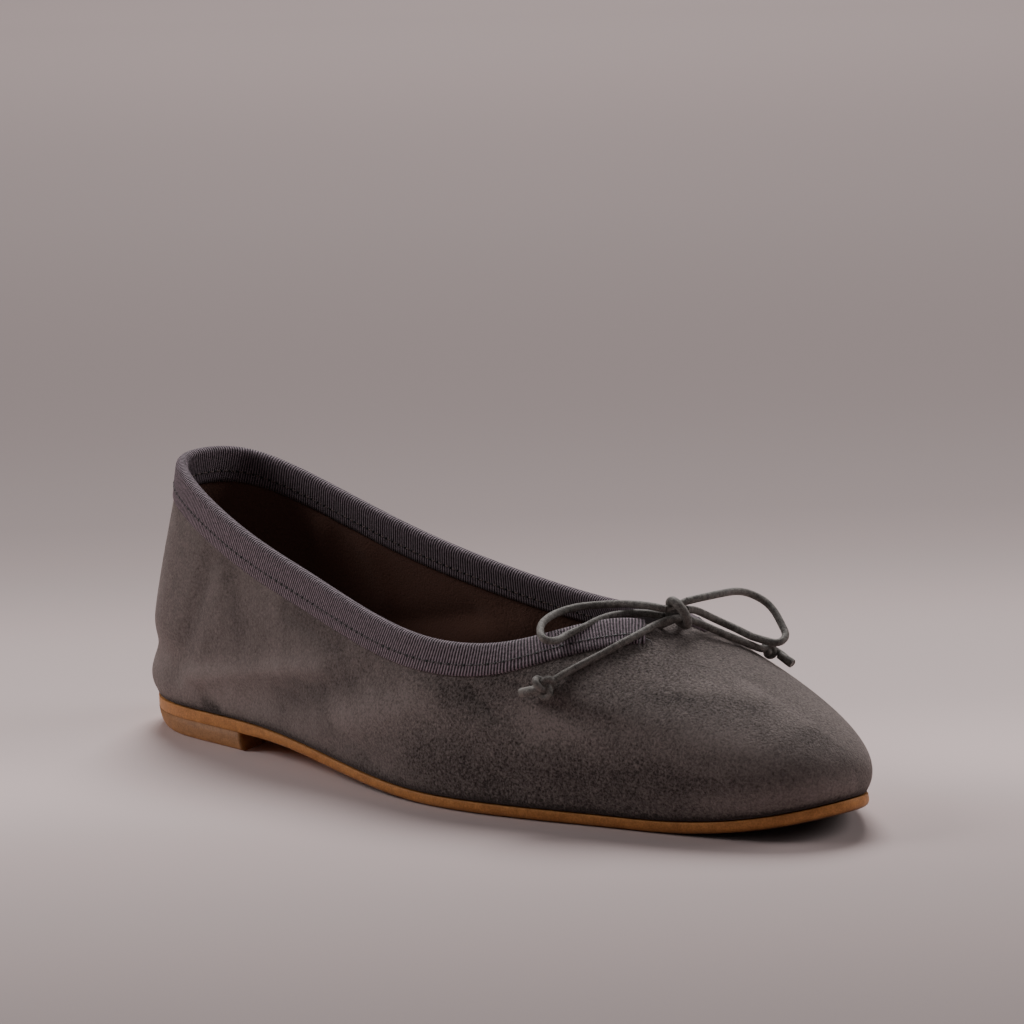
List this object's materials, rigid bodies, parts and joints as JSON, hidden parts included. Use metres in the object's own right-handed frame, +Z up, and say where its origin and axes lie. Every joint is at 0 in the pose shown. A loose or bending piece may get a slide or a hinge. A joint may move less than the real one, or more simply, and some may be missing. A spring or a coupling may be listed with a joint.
{
  "type": "ballet flat",
  "caption": "Low ballet flat for the right foot: hollow suede upper with a ribbon-bound collar and cord bow, on a thin leather sole with a low stacked heel.",
  "frame": {"origin": "on the floor, under the middle of the box round the shoe without its bow cord", "axes": "+X from the heel towards the toe, -Y towards the shoe's outer side, +Z up from the floor"},
  "size_m": [0.2468, 0.084, 0.0749],
  "materials": {
    "sole_leather": "smooth leather with a burnished natural edge",
    "heel_leather": "stacked leather, sanded",
    "sock_leather": "soft matte lining leather",
    "suede": "suede with a short soft nap",
    "ribbon": "ribbed grosgrain ribbon",
    "cord_leather": "round cord, satin"
  },
  "bodies": {
    "root": {"outsole": "sole_leather", "heel": "heel_leather", "insole": "sock_leather", "upper": "suede", "binding": "ribbon", "bow_knot": "cord_leather", "bow_loop_left": "cord_leather", "bow_loop_right": "cord_leather", "bow_end_left": "cord_leather", "bow_end_right": "cord_leather", "end_knot_left": "cord_leather", "end_knot_right": "cord_leather"}
  },
  "joints": []
}
